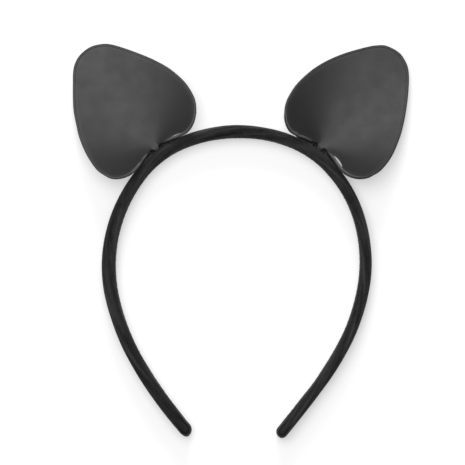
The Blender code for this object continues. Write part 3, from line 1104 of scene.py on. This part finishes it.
def makeTab(side):
    # the rounded leather foot on the band's outer face, sewn down at its corners
    low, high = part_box(side + "_ear_foot")
    base = earFrame(side)
    centre = base.inverted() @ ((low + high) / 2 / mm) - Vector((0.0, tab["sunk"], tab["lowered"]))
    bm = bmesh.new()
    bmesh.ops.create_cube(bm, size=1.0)
    bmesh.ops.scale(bm, vec=(tab["width"], tab["thick"], tab["height"]), verts=bm.verts)
    upright = [e for e in bm.edges if abs(e.verts[0].co.y - e.verts[1].co.y) > 0.1]
    bmesh.ops.bevel(bm, geom=upright, offset=tab["corner"], segments=6, profile=0.5, affect="EDGES",
                    material=-1)
    outer = [e for e in bm.edges if min(v.co.y for v in e.verts) > 0]
    rims = [e for e in outer if e.calc_face_angle(0.0) > 0.5]
    bmesh.ops.bevel(bm, geom=rims, offset=tab["rim"], segments=2, profile=0.5, affect="EDGES", material=-1)
    paler_tone_and_painted_highlight = bm.verts.layers.float.new("paler_tone_and_painted_highlight")
    for v in bm.verts:
        v[paler_tone_and_painted_highlight] = tab["wear"]
    bmesh.ops.translate(bm, vec=centre, verts=bm.verts)
    bmesh.ops.transform(bm, matrix=base, verts=bm.verts)
    piece = finishPiece(side + "_ear_tab", bm, looks["panel"], 40)
    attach(piece, "crown")
    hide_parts(side + "_ear_foot")

    bm = bmesh.new()
    stitchX, stitchZ = tab["stitchAt"]
    facing = Matrix(((1, 0, 0, 0), (0, 0, 1, 0), (0, 1, 0, 0), (0, 0, 0, 1)))
    for cornerX in (-1, 1):
        for cornerZ in (-1, 1):
            out = tab["thick"] / 2 + tab["stitchProud"]
            spot = centre + Vector((cornerX * stitchX, out, cornerZ * stitchZ))
            slant = Matrix.Rotation(cornerX * cornerZ * tab["stitchSlant"], 4, "Y")
            place = base @ Matrix.Translation(spot) @ slant @ facing
            addStitch(bm, place, tab["stitchLength"], tab["stitchThick"])
    piece = finishPiece(side + "_tab_stitches", bm, looks["thread"])
    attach(piece, "crown")


welt = {
    "half": 12.0,                 # half length, along the band
    "thick": 1.0,
    "low": 1.2,
    "high": 4.3,
    "corner": 0.3,
    "sunk": 0.2,                  # into the cover
    "segments": 20,
    "step": 0.5,
    "ends": 0.998,                # it stops just before its taper comes to nothing
}


def makeWelt(side):
    # a leather strip glued along the band's outer face, on both sides of the foot
    centre = neckAlong(side)

    def place(along, share):
        taper = sqrt(max(0.0, 1 - abs((along - centre) / welt["half"]) ** 3))
        height = (welt["high"] - welt["low"]) * taper
        spot, _ = roundedPoint(share, welt["thick"] * taper, height, welt["corner"] * taper)
        out = bandWidth(along) / 2 + welt["thick"] / 2 - welt["sunk"]
        up = (welt["low"] + welt["high"] - band["depth"]) / 2
        return bandFrame(along) @ Vector((spot.x + out, spot.y + up, 0.0))

    bm = bmesh.new()
    count = round(2 * welt["half"] / welt["step"])
    ends = welt["half"] * welt["ends"]
    stations = [centre - ends + 2 * ends * k / count for k in range(count + 1)]
    closeRims(bm, *growTube(bm, welt["segments"], stations, place))
    bm.verts.layers.float.new("paler_tone_and_painted_highlight")
    piece = finishPiece(side + "_ear_welt", bm, looks["panel"])
    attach(piece, "crown")


for side in ("left", "right"):
    makePanel(side, True)
    makePanel(side, False)
    makeTurnedEdge(side)
    makeNeck(side)
    makeTab(side)
    makeWelt(side)
print("ears made")

# the core and the board keep their CAD shapes

for body in ("crown", "left_arm", "right_arm"):
    nodes[body + "_core"].data.materials[0] = looks["core"]
for side in ("left", "right"):
    nodes[side + "_ear_stiffener"].data.materials[0] = looks["board"]
for node in nodes.values():
    if node.hide_render is False:
        node.data.shade_smooth()
        node.data.set_sharp_from_angle(angle=radians(35))

# floor, lights and camera

studio = {
    "floorSize": 9.0,
    "floorColour": (0.58, 0.58, 0.58),
    "floorGlow": 0.43,            # the sheet under the object is lit from below as well
    "keyAt": (-0.25, 0.4, 1.48),
    "keySize": 1.3,
    "keyPower": 19.0,
    "rimAt": (0.0, 1.5, 0.55),
    "rimSize": 0.6,
    "rimPower": 16.0,
    "ambient": 0.34,
    "viewCentre": (-3.75, 4.2),   # millimetres, where the camera looks straight down
    "cameraHeight": 2.2,
    "frameWidth": 223.2,          # millimetres across the picture at the band's mid height
    "sensor": 36.0,
}


def makeFloor():
    bm = bmesh.new()
    bmesh.ops.create_grid(bm, x_segments=8, y_segments=8, size=studio["floorSize"] / 2)
    mesh = bpy.data.meshes.new("floor")
    bm.to_mesh(mesh)
    bm.free()
    floor = addObject("floor", mesh)
    material, shader = newMaterial("pale_floor", studio["floorColour"], 0.9)
    shader.inputs["Specular IOR Level"].default_value = 0.1
    g = Graph(material)
    soft = g.noise(g.place("Object"), 14.0, detail=2.0)
    low = tuple(c * 0.985 for c in studio["floorColour"])
    g.link(g.tint(soft, low, studio["floorColour"]), shader.inputs["Base Color"])
    shader.inputs["Emission Color"].default_value = (1.0, 1.0, 1.0, 1.0)
    shader.inputs["Emission Strength"].default_value = studio["floorGlow"]
    mesh.materials.append(material)


def makeLights():
    for name in ("key", "rim"):
        light = bpy.data.lights.new(name, "AREA")
        light.shape = "SQUARE"
        light.size = studio[name + "Size"]
        light.energy = studio[name + "Power"]
        softbox = addObject(name, light)
        softbox.location = studio[name + "At"]
        softbox.rotation_euler = (-Vector(studio[name + "At"])).to_track_quat("-Z", "Y").to_euler()
        softbox.visible_camera = False
        # only the key shows as a gloss on the leather
        softbox.visible_glossy = name == "key"
    world = bpy.data.worlds.new("studio")
    bpy.context.scene.world = world
    world.use_nodes = True
    background = world.node_tree.nodes["Background"]
    background.inputs["Color"].default_value = (1.0, 1.0, 1.0, 1.0)
    background.inputs["Strength"].default_value = studio["ambient"]


def makeCamera():
    data = bpy.data.cameras.new("camera")
    camera = addObject("camera", data)
    x, y = studio["viewCentre"]
    camera.location = (x * mm, y * mm, studio["cameraHeight"])
    camera.rotation_euler = (0.0, 0.0, 0.0)
    distance = studio["cameraHeight"] - band["depth"] / 2 * mm
    data.sensor_width = studio["sensor"]
    data.lens = studio["sensor"] * distance / (studio["frameWidth"] * mm)
    bpy.context.scene.camera = camera


makeFloor()
makeLights()
makeCamera()
bpy.context.scene.view_settings.view_transform = "Standard"
bpy.context.scene.view_settings.look = "None"
print("studio made")
